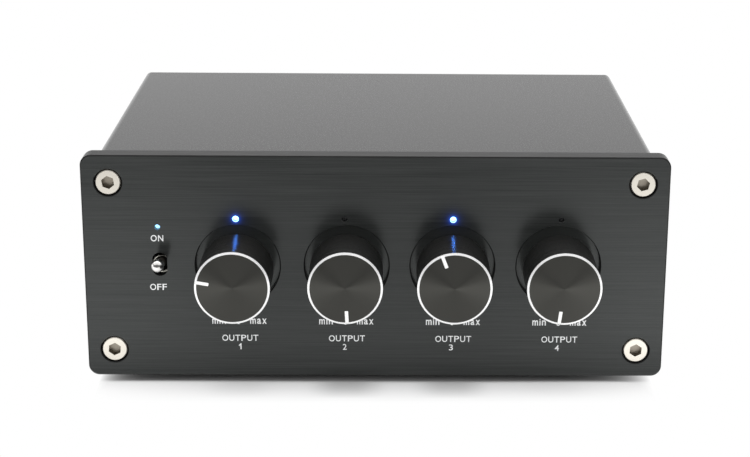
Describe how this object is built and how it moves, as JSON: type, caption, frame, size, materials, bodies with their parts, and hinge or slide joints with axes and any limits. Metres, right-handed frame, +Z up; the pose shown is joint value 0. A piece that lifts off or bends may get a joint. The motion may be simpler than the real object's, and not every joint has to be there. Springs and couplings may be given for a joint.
{
  "type": "audio level distributor",
  "caption": "Black desk-top audio box with level knobs, channel lamps and a power toggle on a thick brushed front panel, and stacked phono sockets at the rear.",
  "frame": {"origin": "on the surface that the feet stand on, in the middle of the outer box in X and Y", "axes": "+X to the right seen from the front, +Y from the front panel to the rear sockets, +Z up"},
  "size_m": [0.164, 0.147, 0.067],
  "materials": {
    "panel_black": "brushed, black anodised",
    "case_black": "fine matt, black anodised",
    "knob_black": "turned, black anodised, bright cut front edge",
    "screw_nickel": "nickel plated",
    "plated_steel": "zinc plated",
    "shaft_metal": "turned",
    "pot_case": "moulded",
    "chrome": "polished",
    "switch_plastic": "moulded",
    "lamp_blue": "lit lens",
    "lamp_dark": "unlit lens",
    "lamp_white": "lit lens",
    "circuit_board": "glass epoxy with solder mask",
    "spacer_plastic": "moulded",
    "socket_black": "moulded",
    "socket_metal": "nickel plated",
    "insert_white": "moulded",
    "insert_red": "moulded",
    "contact_brass": "plain",
    "cap_sleeve": "shrink sleeve",
    "film_cap": "dipped",
    "regulator_black": "moulded",
    "heatsink_black": "black anodised",
    "ribbon_grey": "extruded",
    "wire_red": "extruded",
    "rubber": "moulded"
  },
  "bodies": {
    "chassis": {"front_panel": "panel_black", "upper_shell": "case_black", "lower_shell": "case_black", "rear_panel": "case_black", "front_screws": "screw_nickel", "rear_screws": "screw_nickel", "pot_nuts": "plated_steel", "pot_washers": "plated_steel", "toggle_bracket": "plated_steel", "toggle_nut": "plated_steel", "bracket_screws": "plated_steel", "indicator_screws": "plated_steel", "toggle_pin": "plated_steel", "pot_housing_1": "pot_case", "pot_housing_2": "pot_case", "pot_housing_3": "pot_case", "pot_housing_4": "pot_case", "toggle_bushing": "chrome", "toggle_body": "switch_plastic", "led_1": "lamp_blue", "led_3": "lamp_blue", "led_2": "lamp_dark", "led_4": "lamp_dark", "power_led": "lamp_white", "indicator_board": "circuit_board", "main_board": "circuit_board", "indicator_spacers": "spacer_plastic", "rca_housings": "socket_black", "dc_jack": "socket_black", "board_headers": "socket_black", "op_amps": "socket_black", "rca_sleeves": "socket_metal", "dc_jack_pin": "socket_metal", "rca_inserts_white": "insert_white", "rca_inserts_red": "insert_red", "rca_contacts": "contact_brass", "toggle_terminals": "contact_brass", "electrolytic_caps": "cap_sleeve", "film_caps": "film_cap", "regulator": "regulator_black", "heatsink": "heatsink_black", "indicator_ribbon": "ribbon_grey", "switch_leads": "wire_red", "rubber_feet": "rubber"},
    "control_1": {"knob_1": "knob_black", "grub_screw_1": "plated_steel", "pot_shaft_1": "shaft_metal"},
    "control_2": {"knob_2": "knob_black", "grub_screw_2": "plated_steel", "pot_shaft_2": "shaft_metal"},
    "control_3": {"knob_3": "knob_black", "grub_screw_3": "plated_steel", "pot_shaft_3": "shaft_metal"},
    "control_4": {"knob_4": "knob_black", "grub_screw_4": "plated_steel", "pot_shaft_4": "shaft_metal"},
    "switch_lever": {"toggle_lever": "chrome"}
  },
  "joints": [
    {"name": "control_1_turn", "type": "hinge", "parent": "chassis", "child": "control_1", "pos_m": [-0.03892, -0.0535, 0.03515], "axis": [0, 1, 0], "range_deg": [-99.6, 200.4]},
    {"name": "control_2_turn", "type": "hinge", "parent": "chassis", "child": "control_2", "pos_m": [-0.00828, -0.0535, 0.03515], "axis": [0, 1, 0], "range_deg": [0, 300]},
    {"name": "control_3_turn", "type": "hinge", "parent": "chassis", "child": "control_3", "pos_m": [0.02152, -0.0535, 0.03515], "axis": [0, 1, 0], "range_deg": [-159.4, 140.6]},
    {"name": "control_4_turn", "type": "hinge", "parent": "chassis", "child": "control_4", "pos_m": [0.05142, -0.0535, 0.03515], "axis": [0, 1, 0], "range_deg": [0, 300]},
    {"name": "switch_rock", "type": "hinge", "parent": "chassis", "child": "switch_lever", "pos_m": [-0.06032, -0.048, 0.03515], "axis": [1, 0, 0], "range_deg": [0, 20.8]}
  ]
}
